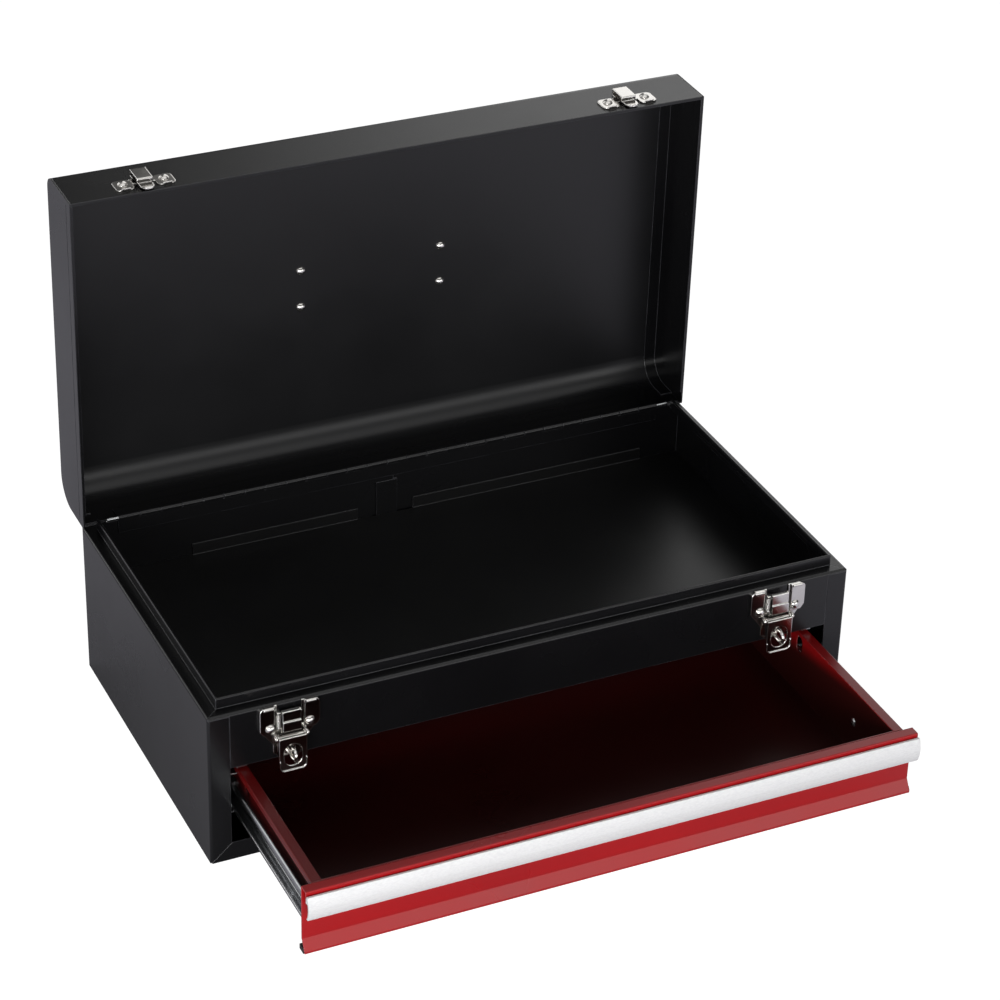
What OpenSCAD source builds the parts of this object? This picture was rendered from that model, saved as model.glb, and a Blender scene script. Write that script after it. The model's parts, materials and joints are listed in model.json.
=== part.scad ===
// Portable tool box: a hinged lid over an open tray, and one drawer on ball slides below.
// X runs to the right, Y to the back and Z up. The origin is the middle of the base.
// The model stands with the lid open and the drawer part way out.

/* [Case] */
// Width of the case
body_w = 520; // [430:1:630]
// Depth of the case
body_d = 280; // [250:1:340]
// Height of the case without the lid
body_h = 128; // [120:1:160]
// Thickness of the case and lid sheet
sheet = 1.2; // [0.8:0.1:1.5]
// Outside radius of the case's bends
bend_r = 2; // [1.6:0.1:3]
// Width of the flat ledge that the closed lid rests on
ledge_w = 10; // [8:0.5:14]
// Height of the neck that stands inside the closed lid
neck_h = 8.5; // [5:0.5:12]
// Height of the hem folded inside the neck
neck_hem_h = 5; // [3:0.5:5]
// Distance from the rear wall to the end of the neck
neck_stop = 6; // [5:0.5:12]
// Width of the front stiles beside the drawer
stile_w = 16.5; // [14:0.5:20]
// Height of the rail under the drawer
rail_h = 15; // [12:0.5:18]
// Depth of the tray, from the ledge to its floor
tray_depth = 45.8; // [44:0.1:52]

/* [Lid] */
// Height of the closed lid above its rim
lid_h = 53; // [45:1:70]
// Radius of the lid's front edge
lid_front_r = 10; // [5:0.5:14]
// Radius of the lid's rear edge
lid_rear_r = 22; // [8:0.5:26]
// Height of the hem inside the lid's rim
lid_hem_h = 8; // [6:0.5:12]
// Angle that the lid stands open
lid_open = 89; // [60:1:89]

/* [Hinge] */
// Diameter of the lid's hinge knuckles
barrel_d = 4.6; // [4.2:0.1:5]
// Diameter of the case's hinge knuckles
case_barrel_d = 4.2; // [4:0.1:5]
// Diameter of the hinge pin
pin_d = 2.6; // [2:0.1:3]
// Number of hinge knuckles
knuckles = 27; // [21:2:35]
// Height of each hinge leaf from the axis
leaf_h = 14; // [10:0.5:18]

/* [Drawer] */
// Distance that the drawer stands out, from the case front to the drawer front
drawer_out = 135; // [60:1:150]
// Depth of the drawer box
drawer_d = 245; // [210:1:246]
// Thickness of the drawer sheet
drawer_sheet = 1; // [0.8:0.1:1.2]
// Space between the drawer's top and the tray
drawer_headroom = 8.7; // [8:0.1:12]
// Height of the pull bar
pull_h = 19.5; // [17:0.5:22]
// Bulge of the pull bar in front of its lip
pull_bulge = 2.5; // [2:0.5:5]
// Length of each slide member
slide_len = 240; // [200:1:244]

/* [Hardware] */
// Distance of each latch from the middle of the case
latch_x = 198.5; // [150:0.5:210]
// Width of the latch plate across its wings
latch_w = 46; // [42:0.5:50]
// Width of the padlock eye in each lever
eye_w = 14; // [10:0.5:15]
// Distance of each handle bracket from the middle of the lid
bracket_x = 59.5; // [45:0.5:80]
// Distance between the two rivets of a handle bracket
bracket_pitch = 32; // [28:0.5:40]
// Length of the handle's legs, from their pivot to the grip
handle_reach = 36; // [28:0.5:50]
// Diameter of the handle's wire
bail_d = 6; // [5:0.5:8]
// Diameter of the handle's grip
grip_d = 15; // [12:0.5:16]

/* [Clearances] */
// Gap between the closed lid and the ledge
rim_gap = 0.3; // [0.2:0.1:0.5]
// Width of the open seams between sheets
seam = 0.15; // [0.1:0.05:0.3]
// Gap between neighbouring hinge knuckles
knuckle_gap = 0.5; // [0.1:0.05:0.8]
// Radial running gap round pins
pin_gap = 0.06; // [0.03:0.01:0.1]
// Gap between the drawer front and each side of its opening
front_gap = 1; // [0.8:0.1:3]
// Gap between the drawer's top and the latch levers above it
lever_gap = 1; // [0.6:0.1:2]

/* [Hidden] */
$fn = 48;

front_y = -body_d / 2;
rear_y = body_d / 2;
half_w = body_w / 2;
inside_x = half_w - sheet;
eps = 0.01;

// Heights in the case, from the tray down to the base.
tray_sheet = 1;
tray_floor_z = body_h - tray_depth;
apron_z = tray_floor_z - tray_sheet;
drawer_top_z = apron_z - drawer_headroom;
rail_gap = 1.5;
drawer_floor_z = rail_h + 3.5;
opening_x = half_w - stile_w;
apron_h = body_h - apron_z;

// Rear seam of the two side shells: the right one steps inside the left one.
lap_edge_x = -14;
lap_step_x = 1;
lap_root_w = 3;

// Hinge axis: behind and above the rear wall's top edge.
hinge_y = rear_y - 2.5;
hinge_z = body_h + 2.8;
hinge_x0 = -(half_w - 29);
hinge_x1 = half_w - 23;
knuckle_pitch = (hinge_x1 - hinge_x0) / knuckles;
hinge_pin_out = 9.3;
leaf_t = 1;
leaf_relief = 0.35;
rear_lug_z = body_h + 1.3;

// Lid, in its closed place.
lid_z0 = body_h + rim_gap;
lid_z1 = lid_z0 + lid_h;
lid_wall_z0 = hinge_z + barrel_d / 2 + 0.4;
end_flange_w = 10;
end_groove_w = 0.8;
end_groove_depth = 0.4;

// Latches, from the case's front face outwards and from the ledge downwards.
latch_plate_t = 1.2;
wing_t = 3;
wing_inner_x = 11.5;
wing_h = 20;
latch_neck_x = 12.5;
latch_neck_h = 34;
latch_plate_h = apron_h - 0.3;
latch_notch_h = 9;
latch_notch_x = 9.5;
latch_rivet_x = 15;
latch_rivet_z = 19;
lever_pin_out = 5;
lever_pin_down = 27;
lever_pin_d = 2.6;
ear_x = 11.2;
ear_t = 1;
ear_r = 2.6;
lever_cheek_x = 9.6;
lever_t = 1;
lever_face_out = 7.8;
lever_top_down = 26;
lever_z = drawer_top_z + lever_gap;
lever_len = body_h - lever_top_down - lever_z;
lever_corner_r = 4;
lever_rim = 0.8;
eye_top = 6;
eye_bottom = 4;
eye_h = lever_len - eye_top - eye_bottom;
eye_z = lever_z + eye_bottom + eye_h / 2;
claw_x = 7;
claw_t = 1;
claw_back = 1.5;
claw_face = 5.6;
claw_top_down = 4.5;
claw_step_down = 20;
claw_foot_down = 34;
claw_tip_in = 3.4;
claw_link_t = 1;
claw_link_h = 8;
spring_x = -9.4;
spring_out = 4.2;
spring_r = 1.9;
spring_wire = 0.9;
spring_top_down = 6.6;
spring_turns = 12;
spring_rod_r = 0.8;
staple_wire = 2.6;
staple_r = 4.3;
staple_leg = 9.2;

// Strikes, from the lid's front face outwards and from the rim upwards.
strike_t = 1.2;
strike_wing_x0 = 9;
strike_wing_x1 = 23;
strike_z0 = 5;
strike_z1 = 21;
strike_rivet_x = 16;
strike_rivet_z = 14.5;
bridge_x = 6;
bridge_out = 6;
bridge_t = 1;
bridge_z0 = 10;
bridge_z1 = 27;
tongue_x = 5.2;
tongue_lip = 1.8;
tongue_lip_x = 3;

// Rivets.
rivet_d = 3.8;
rivet_head_d = 8;
rivet_head_h = 2.5;
rivet_hole_gap = 0.15;

// Handle, on the closed lid's top and a little nearer its front.
handle_y = -5;
handle_axis_up = 9;
bracket_w = 16;
bracket_t = 1.5;
bracket_foot = 9;
eye_wall = 1.8;
handle_leg_x = bracket_x + bracket_w / 2 + bail_d / 2 + 1;
bail_bend_r = 9;
bail_end_x = bracket_x - bracket_w / 2 - 4;
grip_end_gap = 1;
hang_tilt = min(90 - lid_open, 1);

// Drawer slides, from the opening's edge inwards.
slide_inset = 2.8;
slide_t = 12.7;
slide_metal = 1.2;
slide_bend_r = 2 * slide_metal;
case_member_h = 35;
drawer_member_h = 25;
drawer_member_depth = 9.8;
drawer_member_lip = 3;
drawer_member_rib = 1.5;
drawer_member_rib_z = 6.5;
case_member_depth = 9.7;
slide_case_x = opening_x - slide_inset;
drawer_side_x = slide_case_x - slide_t;
drawer_inner_x = drawer_side_x - drawer_sheet;
slide_z = (drawer_floor_z + drawer_top_z) / 2 - 0.5;
ball_d = 3.4;
ball_x = slide_case_x - 5.7;
ball_row_z = (case_member_h / 2 - slide_metal + drawer_member_h / 2) / 2;
ball_count = 8;
ball_pitch = 6.2;
cage_len = 52;
cage_t = 0.6;
cage_web_x = drawer_side_x + drawer_member_depth + 0.6;
cage_inner_x = drawer_side_x + 3.4;
cage_pocket_gap = 0.2;
bracket_sheet = 1.2;
bracket_rail_h = 38;
bracket_rear = 14;

// Drawer.
drawer_y = front_y - drawer_out;
front_half_w = opening_x - front_gap;
front_z0 = rail_h + rail_gap;
kick_h = 10;
kick_out = 5;
foot_h = 1.5;
flange_out = 8;
flange_drop = 10;
side_flange_x = drawer_side_x + 7;
side_flange_drop = 4.5;
pull_t = 1.6;
pull_leg_t = 1.2;
pull_leg_h = 4;
pull_drop = 2.8;
pull_leg_drop = 2;
pull_z1 = drawer_top_z - pull_drop;
pull_z0 = pull_z1 - pull_h;
pull_face_y = drawer_y - flange_out - pull_leg_t;
pull_inner_r = (pull_h * pull_h / 4 + pull_bulge * pull_bulge) / (2 * pull_bulge);
pull_bead_r = 0.9;
pull_bead_gap = 1.1;
drawer_closed = flange_out + pull_leg_t + pull_bulge + pull_t + 0.5;
slide_setback = drawer_sheet + 3;
slide_drawer_y = drawer_y + slide_setback;
slide_case_y = front_y + drawer_closed + slide_setback;
slide_shift = slide_case_y - slide_drawer_y;
cage_y = slide_case_y + slide_len / 2 - slide_shift / 2;
drawer_rivet_y = [56, 190];
drawer_rivet_head_d = 7.5;
drawer_rivet_head_h = 1.6;

// Colours.
black_paint = [0.10, 0.10, 0.11];
red_paint = [0.62, 0.08, 0.10];
nickel = [0.80, 0.79, 0.77];
zinc = [0.66, 0.67, 0.69];
aluminium = [0.86, 0.87, 0.88];
black_plastic = [0.06, 0.06, 0.06];

// ---------- Helpers ----------

// Draws a rectangle with round corners, centred.
module rounded_square(w, h, r) {
  square([w - 2 * r, h], center = true);
  square([w, h - 2 * r], center = true);
  for (x = [-1, 1], y = [-1, 1])
    translate([x * (w / 2 - r), y * (h / 2 - r)]) circle(r);
}

// Extrudes an outline drawn in Y and Z along X, from x0 to x1.
module along_x(x0, x1) {
  translate([x0, 0, 0]) rotate([90, 0, 90]) linear_extrude(x1 - x0) children();
}

// Extrudes an outline drawn in X and Z along Y, from y0 to y1.
module along_y(y0, y1) {
  translate([0, y1, 0]) rotate([90, 0, 0]) linear_extrude(y1 - y0) children();
}

// A round bar along X, from x0 to x1, round the point y, z.
module bar_x(x0, x1, y, z, d) {
  translate([x0, y, z]) rotate([0, 90, 0]) cylinder(h = x1 - x0, d = d);
}

// A round bar along Y, from y0 to y1, round the point x, z.
module bar_y(x, y0, y1, z, d) {
  translate([x, y1, z]) rotate([90, 0, 0]) cylinder(h = y1 - y0, d = d);
}

// A box from its lowest and highest corners.
module block(low, high) {
  translate(low) cube(high - low);
}

// Turns the closed lid's pieces about the hinge axis to where they stand open.
module lid_place() {
  translate([0, hinge_y, hinge_z]) rotate([-lid_open, 0, 0])
    translate([0, -hinge_y, -hinge_z]) children();
}

// A domed head along -Y, standing on y = 0.
module dome_head(d, h) {
  ball_r = (d * d / 4 + h * h) / (2 * h);
  rotate([90, 0, 0]) intersection() {
    translate([0, 0, h - ball_r]) sphere(ball_r);
    cylinder(h = h, d = d);
  }
}

// ---------- Case ----------

module case_outline() {
  rounded_square(body_w, body_d, bend_r);
}

// The bent top of a wall: skirt, bend, ledge, neck and hem. X is inwards and Y is up.
module rim_profile() {
  neck_x = ledge_w;
  translate([0, -bend_r]) square([sheet, eps]);
  intersection() {
    difference() {
      translate([bend_r, -bend_r]) circle(bend_r);
      translate([bend_r, -bend_r]) circle(bend_r - sheet);
    }
    translate([0, -bend_r]) square(bend_r);
  }
  translate([bend_r, -sheet]) square([neck_x + sheet - bend_r, sheet]);
  translate([neck_x, -sheet]) square([sheet, neck_h]);
  translate([neck_x + sheet, neck_h - neck_hem_h]) square([sheet, neck_hem_h - sheet]);
  intersection() {
    translate([neck_x + sheet, neck_h - sheet]) circle(sheet);
    translate([neck_x, neck_h - sheet]) square([2 * sheet, sheet]);
  }
}

// The part of the rim that belongs to the front, cut at 45 degrees at both corners.
module front_zone() {
  reach = ledge_w + 2 * sheet + 2;
  translate([0, 0, body_h - bend_r]) linear_extrude(bend_r + neck_h + 1)
    polygon([[-half_w - 1, front_y - 1], [half_w + 1, front_y - 1],
      [half_w - reach, front_y + reach], [-half_w + reach, front_y + reach]]);
}

module side_rim() {
  difference() {
    translate([-half_w, 0, body_h]) along_y(front_y, rear_y) rim_profile();
    translate([0, seam, 0]) front_zone();
    block([-half_w + ledge_w - 1, rear_y - sheet - neck_stop, body_h],
      [-half_w + ledge_w + 2 * sheet + 1, rear_y + 1, body_h + neck_h + 1]);
  }
}

// The left side wall with its front stile, its half of the rear wall and its rim.
module side_shell(rear_end_x, hinge_x_end) {
  wall_top = body_h - bend_r;
  intersection() {
    linear_extrude(body_h + neck_h) case_outline();
    union() {
      difference() {
        block([-half_w, front_y, 0], [-opening_x, rear_y, wall_top]);
        block([-inside_x, front_y + sheet, -1], [0, rear_y + 1, wall_top + 1]);
        along_y(front_y - 1, front_y + sheet + eps)
          polygon([[-half_w - seam, -1], [-half_w - seam, 0], [-opening_x, rail_h], [0, rail_h], [0, -1]]);
      }
      block([-half_w, rear_y - sheet, 0], [rear_end_x, rear_y, body_h]);
      block([-inside_x + seam, rear_y - sheet, body_h], [hinge_x_end - hinge_pin_out, rear_y, rear_lug_z]);
      side_rim();
    }
  }
}

module shell_left() {
  color(black_paint) side_shell(lap_step_x - seam, hinge_x0);
}

module shell_right() {
  lap_bottom = rail_h;
  lap_top = body_h - leaf_h - 1;
  color(black_paint) {
    mirror([1, 0, 0]) side_shell(-lap_step_x, -hinge_x1);
    difference() {
      block([lap_edge_x, rear_y - 2 * sheet, lap_bottom],
        [lap_step_x + lap_root_w, rear_y - sheet, lap_top]);
      block([lap_edge_x - 1, rear_y - 2 * sheet - 1, apron_z],
        [lap_step_x + lap_root_w + 1, rear_y - sheet + eps, tray_floor_z]);
    }
  }
}

module front_apron() {
  face_x = opening_x - seam;
  tab_in = 8;
  tab_out = 14;
  tab_down = 12;
  color(black_paint) {
    difference() {
      block([-face_x, front_y, apron_z], [face_x, front_y + sheet, body_h - bend_r]);
      latch_rivet_spots() bar_y(0, -1, sheet + 1, 0, rivet_d + 2 * rivet_hole_gap);
    }
    intersection() {
      translate([0, front_y, body_h]) along_x(-half_w, half_w) rim_profile();
      front_zone();
      linear_extrude(body_h + neck_h) case_outline();
    }
    for (side = [0, 1])
      mirror([side, 0, 0])
        block([opening_x - tab_in, front_y + sheet, apron_z + 3],
          [opening_x + tab_out, front_y + 2 * sheet, body_h - tab_down]);
  }
}

module bottom_panel() {
  flange_h = 12;
  floor_x = inside_x;
  color(black_paint) {
    intersection() {
      along_y(front_y, front_y + sheet)
        polygon([[-half_w, 0], [-opening_x, rail_h], [opening_x, rail_h], [half_w, 0]]);
      block([-floor_x, front_y, 0], [floor_x, rear_y, rail_h]);
    }
    block([-floor_x, front_y, 0], [floor_x, rear_y - sheet, sheet]);
    for (side = [0, 1])
      mirror([side, 0, 0])
        block([-floor_x, front_y + sheet + 2, 0], [-floor_x + sheet, rear_y - sheet, flange_h]);
    block([-floor_x, rear_y - 2 * sheet, 0], [floor_x, rear_y - sheet, flange_h]);
  }
}

module tray_pan() {
  rear_flange = [[-171, -30], [18, 224]];
  rear_flange_h = 10;
  front_flange_h = 10;
  front_flange_x = opening_x - 12;
  side_flange_h = 10;
  side_inset = 20;
  notch = [-17, 18];
  color(black_paint) {
    difference() {
      block([-inside_x, front_y + sheet, apron_z], [inside_x, rear_y - sheet, tray_floor_z]);
      block([notch[0], rear_y - 2 * sheet - seam, apron_z - 1], [notch[1], rear_y, tray_floor_z + 1]);
    }
    for (span = rear_flange)
      block([span[0], rear_y - sheet - tray_sheet, apron_z],
        [span[1], rear_y - sheet, tray_floor_z + rear_flange_h]);
    block([-front_flange_x, front_y + sheet, apron_z],
      [front_flange_x, front_y + sheet + tray_sheet, tray_floor_z + front_flange_h]);
    for (side = [0, 1])
      mirror([side, 0, 0])
        block([-inside_x, front_y + side_inset, apron_z - side_flange_h],
          [-inside_x + tray_sheet, rear_y - side_inset, tray_floor_z]);
  }
}

// The channel between the left side wall and the left slide.
module slide_bracket() {
  z0 = slide_z - bracket_rail_h / 2;
  z1 = slide_z + bracket_rail_h / 2;
  y0 = slide_case_y;
  y1 = rear_y - bracket_rear;
  color(zinc) {
    block([-slide_case_x - bracket_sheet, y0, z0], [-slide_case_x, y1, z1]);
    block([-inside_x, y0, z0], [-slide_case_x, y1, z0 + bracket_sheet]);
    block([-inside_x, y0, z1 - bracket_sheet], [-slide_case_x, y1, z1]);
  }
}

module slide_bracket_left() {
  slide_bracket();
}

module slide_bracket_right() {
  mirror([1, 0, 0]) slide_bracket();
}

// The small clip under the tray that keeps the drawer from tipping up.
module guide_clip() {
  clip_w = 8;
  clip_len = 18;
  clip_t = 1.2;
  clip_x = drawer_side_x + 8;
  clip_y = front_y + sheet + 6;
  leg_h = drawer_headroom - 2;
  color(zinc) {
    block([-clip_x, clip_y, apron_z - clip_t], [-clip_x + clip_w, clip_y + clip_len, apron_z]);
    block([-clip_x, clip_y, apron_z - leg_h], [-clip_x + clip_w, clip_y + clip_t, apron_z]);
  }
}

module guide_clip_left() {
  guide_clip();
}

module guide_clip_right() {
  mirror([1, 0, 0]) guide_clip();
}

// ---------- Slides ----------

// Outline of a rolled channel, w deep and h high, drawn in X and Z from its web at X = 0.
module channel_outline(w, h, lip) {
  bend = slide_bend_r;
  difference() {
    translate([w / 2, 0]) rounded_square(w, h, bend);
    translate([w / 2, 0])
      rounded_square(w - 2 * slide_metal, h - 2 * slide_metal, bend - slide_metal);
    translate([w - bend, lip + slide_metal - h / 2]) square([bend + 1, h - 2 * (lip + slide_metal)]);
  }
}

// The channel fixed to the case, open towards the drawer.
module slide_case() {
  color(zinc) translate([-slide_case_x, 0, slide_z]) intersection() {
    along_y(slide_case_y, slide_case_y + slide_len)
      channel_outline(case_member_depth + slide_bend_r, case_member_h, 0);
    block([0, slide_case_y, -case_member_h], [case_member_depth, slide_case_y + slide_len, case_member_h]);
  }
}

module slide_case_left() {
  slide_case();
}

module slide_case_right() {
  mirror([1, 0, 0]) slide_case();
}

// The channel fixed to the drawer, open towards the case.
module slide_drawer() {
  y0 = slide_drawer_y;
  y1 = slide_drawer_y + slide_len;
  color(zinc) difference() {
    union() {
      translate([-drawer_side_x, 0, slide_z]) mirror([1, 0, 0]) along_y(y0, y1)
        channel_outline(drawer_member_depth, drawer_member_h, drawer_member_lip);
      for (z = [-1, 1])
        bar_y(-drawer_side_x - slide_metal, y0, y1, slide_z + z * drawer_member_rib_z, 2 * drawer_member_rib);
    }
    block([-drawer_side_x, y0 - 1, slide_z - drawer_member_h],
      [-drawer_side_x + 2 * drawer_member_rib, y1 + 1, slide_z + drawer_member_h]);
    for (y = drawer_rivet_y)
      bar_x(-drawer_side_x - slide_metal - 1, -drawer_side_x + 1, drawer_y + y, slide_z,
        rivet_d + 2 * rivet_hole_gap);
  }
}

module slide_drawer_left() {
  slide_drawer();
}

module slide_drawer_right() {
  mirror([1, 0, 0]) slide_drawer();
}

// Middle of each ball along the slide.
function ball_y(i) = cage_y + (i - (ball_count - 1) / 2) * ball_pitch;

// The strip that spaces the balls of the left slide, in two rows joined by a web.
module ball_cage() {
  y0 = cage_y - cage_len / 2;
  y1 = cage_y + cage_len / 2;
  top = ball_row_z + cage_t / 2;
  color(zinc) difference() {
    union() {
      block([-cage_web_x - cage_t, y0, slide_z - top], [-cage_web_x, y1, slide_z + top]);
      for (row = [-1, 1])
        block([-cage_web_x - cage_t, y0, slide_z + row * ball_row_z - cage_t / 2],
          [-cage_inner_x, y1, slide_z + row * ball_row_z + cage_t / 2]);
    }
    for (i = [0 : ball_count - 1])
      translate([-ball_x, ball_y(i), slide_z - top - 1])
        cylinder(h = 2 * top + 2, d = ball_d + 2 * cage_pocket_gap);
  }
}

module ball_cage_left() {
  ball_cage();
}

module ball_cage_right() {
  mirror([1, 0, 0]) ball_cage();
}

module slide_balls() {
  color(nickel)
    for (i = [0 : ball_count - 1], row = [-1, 1])
      translate([-ball_x, ball_y(i), slide_z + row * ball_row_z]) sphere(d = ball_d);
}

module slide_balls_left() {
  slide_balls();
}

module slide_balls_right() {
  mirror([1, 0, 0]) slide_balls();
}

// ---------- Hinge ----------

// Knuckles whose number leaves the remainder given, with the leaf that carries them.
module hinge_leaf(first, knuckle_d, leaf_z0, leaf_z1) {
  leaf_y0 = rear_y - sheet - leaf_t;
  relief = barrel_d + 2 * leaf_relief;
  difference() {
    union() {
      block([hinge_x0, leaf_y0, leaf_z0], [hinge_x1, leaf_y0 + leaf_t, leaf_z1]);
      for (i = [first : 2 : knuckles - 1])
        bar_x(hinge_x0 + i * knuckle_pitch + knuckle_gap / 2,
          hinge_x0 + (i + 1) * knuckle_pitch - knuckle_gap / 2, hinge_y, hinge_z, knuckle_d);
    }
    for (i = [1 - first : 2 : knuckles - 1])
      bar_x(hinge_x0 + i * knuckle_pitch - knuckle_gap / 2,
        hinge_x0 + (i + 1) * knuckle_pitch + knuckle_gap / 2, hinge_y, hinge_z, relief);
    bar_x(hinge_x0 - 1, hinge_x1 + 1, hinge_y, hinge_z, pin_d + 2 * pin_gap);
  }
}

module hinge_leaf_case() {
  color(black_paint) hinge_leaf(0, case_barrel_d, hinge_z - leaf_h, hinge_z);
}

module hinge_leaf_lid() {
  color(black_paint) lid_place() hinge_leaf(1, barrel_d, hinge_z, hinge_z + leaf_h);
}

module hinge_pin() {
  color(zinc) bar_x(hinge_x0 - hinge_pin_out, hinge_x1 + hinge_pin_out, hinge_y, hinge_z, pin_d);
}

// ---------- Lid ----------

// The closed lid's outline from the side, drawn in Y and Z and taken in by t.
module lid_outline(t) {
  y0 = front_y + t;
  y1 = rear_y - t;
  z1 = lid_z1 - t;
  fr = lid_front_r - t;
  rr = lid_rear_r - t;
  translate([y0, lid_z0]) square([y1 - y0, z1 - max(fr, rr) - lid_z0]);
  translate([y0 + fr, lid_z0]) square([y1 - y0 - fr - rr, z1 - lid_z0]);
  translate([y0, lid_z0]) square([fr + eps, z1 - fr - lid_z0]);
  translate([y0 + fr, z1 - fr]) circle(fr);
  translate([y1 - rr, z1 - rr]) circle(rr);
}

// The lid's front, top and rear wall, bent from one sheet.
module lid_shell() {
  color(black_paint) lid_place() difference() {
    along_x(-inside_x + seam, inside_x - seam) difference() {
      lid_outline(0);
      difference() {
        lid_outline(sheet);
        translate([front_y, lid_z0]) square([2 * sheet, lid_hem_h]);
      }
      translate([rear_y - 2 * sheet, lid_z0 - 1]) square([3 * sheet, lid_wall_z0 - lid_z0 + 1]);
    }
    strike_rivet_spots(front_y - 1, front_y + 2 * sheet + 1, rivet_d + 2 * rivet_hole_gap);
    handle_rivet_spots() cylinder(h = 4 * sheet, d = rivet_d + 2 * rivet_hole_gap, center = true);
  }
}

// The left end of the lid: a plate with a flange under the bent sheet and a hem at its rim.
module lid_end() {
  corner_r = rear_y - hinge_y;
  flange_z0 = lid_z0 + lid_hem_h + 0.5;
  flange_rear_z0 = hinge_z + leaf_h + 0.5;
  hem_rear = 12;
  difference() {
    union() {
      along_x(-half_w, -inside_x) difference() {
        lid_outline(0);
        translate([hinge_y, lid_z0 - 1]) square([corner_r + 1, hinge_z - lid_z0 + 1]);
      }
      intersection() {
        bar_x(-half_w, -inside_x, hinge_y, hinge_z, 2 * corner_r);
        block([-half_w, hinge_y - corner_r, lid_z0], [-inside_x, rear_y, hinge_z + corner_r]);
      }
      along_x(-inside_x - eps, -inside_x + end_flange_w) difference() {
        lid_outline(sheet);
        lid_outline(2 * sheet);
        translate([front_y, lid_z0 - 1]) square([body_d / 2, flange_z0 - lid_z0 + 1]);
        translate([0, lid_z0 - 1]) square([body_d / 2, flange_rear_z0 - lid_z0 + 1]);
      }
      block([-inside_x, front_y + 2 * sheet + seam, lid_z0],
        [-inside_x + sheet, rear_y - hem_rear, lid_z0 + lid_hem_h]);
    }
    block([-half_w - 1, front_y + 4, lid_z0 + lid_hem_h],
      [-half_w + end_groove_depth, rear_y - 4, lid_z0 + lid_hem_h + end_groove_w]);
  }
}

module lid_end_left() {
  color(black_paint) lid_place() lid_end();
}

module lid_end_right() {
  color(black_paint) lid_place() mirror([1, 0, 0]) lid_end();
}

// ---------- Strikes ----------

// Bars at the four strike rivets, from y0 to y1 on the closed lid.
module strike_rivet_spots(y0, y1, d) {
  for (side = [-1, 1], x = [-1, 1])
    bar_y(side * latch_x + x * strike_rivet_x, y0, y1, lid_z0 + strike_rivet_z, d);
}

// A strike: two riveted wings and a raised bridge that ends in a tongue at the rim.
module strike(x) {
  cut = 3.5;
  wing_w = strike_wing_x1 - strike_wing_x0;
  wing_h = strike_z1 - strike_z0;
  lid_place() translate([x, front_y, lid_z0]) {
    difference() {
      along_y(-strike_t, 0) for (side = [0, 1])
        mirror([side, 0])
          translate([strike_wing_x0 + wing_w / 2, strike_z0 + wing_h / 2])
            rounded_square(wing_w, wing_h, cut);
      for (side = [-1, 1])
        bar_y(side * strike_rivet_x, -strike_t - 1, 1, strike_rivet_z, rivet_d + 2 * rivet_hole_gap);
    }
    for (side = [0, 1])
      mirror([side, 0, 0])
        block([strike_wing_x0 + cut, -2 * strike_t, strike_z0],
          [strike_wing_x1 - cut, 0, strike_z0 + bridge_t]);
    block([-strike_wing_x0 - eps, -strike_t, strike_z1 - 8], [strike_wing_x0 + eps, 0, strike_z1]);
    block([-bridge_x, -strike_t, strike_z1 - 8], [bridge_x, 0, bridge_z1]);
    block([-bridge_x, -bridge_out, bridge_z1 - bridge_t], [bridge_x, 0, bridge_z1]);
    bridge_corner_y = -bridge_out + bridge_t;
    block([-bridge_x, -bridge_out, bridge_z0 + bridge_t], [bridge_x, bridge_corner_y, bridge_z1]);
    bar_x(-bridge_x, bridge_x, bridge_corner_y, bridge_z0 + bridge_t, 2 * bridge_t);
    block([-bridge_x, bridge_corner_y, bridge_z0], [bridge_x, -strike_t, bridge_z0 + bridge_t]);
    along_y(-strike_t - bridge_t, -strike_t) {
      translate([-tongue_x, tongue_x]) square([2 * tongue_x, bridge_z0 + bridge_t - tongue_x]);
      translate([0, tongue_x]) circle(tongue_x);
    }
    block([-tongue_lip_x, -strike_t - tongue_lip, 0.6], [tongue_lip_x, -strike_t, 0.6 + bridge_t]);
  }
}

module strike_left() {
  color(nickel) strike(-latch_x);
}

module strike_right() {
  color(nickel) strike(latch_x);
}

module strike_rivets() {
  color(nickel) lid_place() {
    strike_rivet_spots(front_y - strike_t - eps, front_y + sheet + eps, rivet_d);
    strike_rivet_spots(front_y + sheet, front_y + sheet + 1, rivet_head_d);
    for (side = [-1, 1], x = [-1, 1])
      translate([side * latch_x + x * strike_rivet_x, front_y - strike_t, lid_z0 + strike_rivet_z])
        dome_head(rivet_head_d, rivet_head_h);
  }
}

// ---------- Latches ----------

// Moves to a latch: Y = 0 is the case's front face and Z = 0 is the ledge.
module at_latch(side) {
  translate([side * latch_x, front_y, body_h]) children();
}

// Outline of the latch plate, drawn in X and Z.
module latch_outline() {
  top = 0.5;
  foot_r = 5;
  corner = 4;
  for (side = [0, 1])
    mirror([side, 0])
      polygon([[0, -top - latch_notch_h], [latch_notch_x, -top - latch_notch_h], [latch_notch_x, -top],
        [latch_w / 2 - corner, -top], [latch_w / 2, -top - corner], [latch_w / 2, -wing_h],
        [latch_neck_x, -latch_neck_h], [latch_neck_x, -latch_plate_h + foot_r],
        [latch_neck_x - foot_r, -latch_plate_h], [0, -latch_plate_h]]);
  for (x = [-1, 1])
    translate([x * (latch_w / 2 - corner), -top - corner]) circle(corner);
}

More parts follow.
